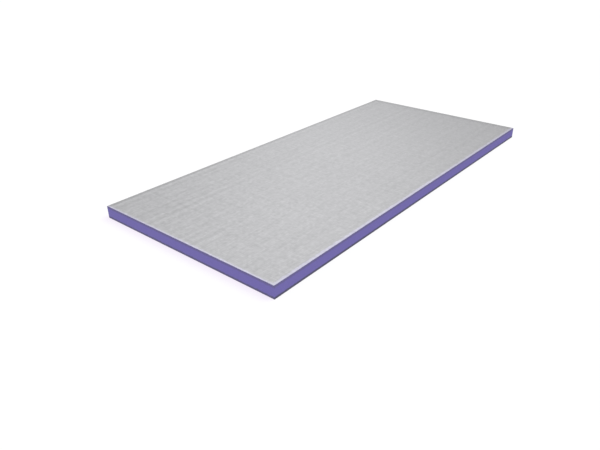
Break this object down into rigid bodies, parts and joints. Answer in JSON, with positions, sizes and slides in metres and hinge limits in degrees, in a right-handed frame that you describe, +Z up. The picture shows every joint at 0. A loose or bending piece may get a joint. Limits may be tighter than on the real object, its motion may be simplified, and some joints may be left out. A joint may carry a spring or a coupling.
{
  "type": "foam tile backer board",
  "caption": "Flat rectangular backer board for tiles: a violet extruded foam core with a thin mesh-reinforced cement coat bonded to each face, and edges cut square.",
  "frame": {"origin": "centre of the underside, on the plane that the board lies on", "axes": "+X along the board's length, +Y along its width, +Z up through its thickness, out of the tile face"},
  "size_m": [1.3, 0.6, 0.035],
  "materials": {
    "foam": "violet extruded polystyrene foam, sawn edges with fine closed cells, matt",
    "cement_coat": "light grey polymer cement trowelled through a glass-fibre mesh, whose weave shows as a fine relief, dry and matt"
  },
  "bodies": {
    "root": {"tile_coat": "cement_coat", "foam_core": "foam", "back_coat": "cement_coat"}
  },
  "joints": []
}
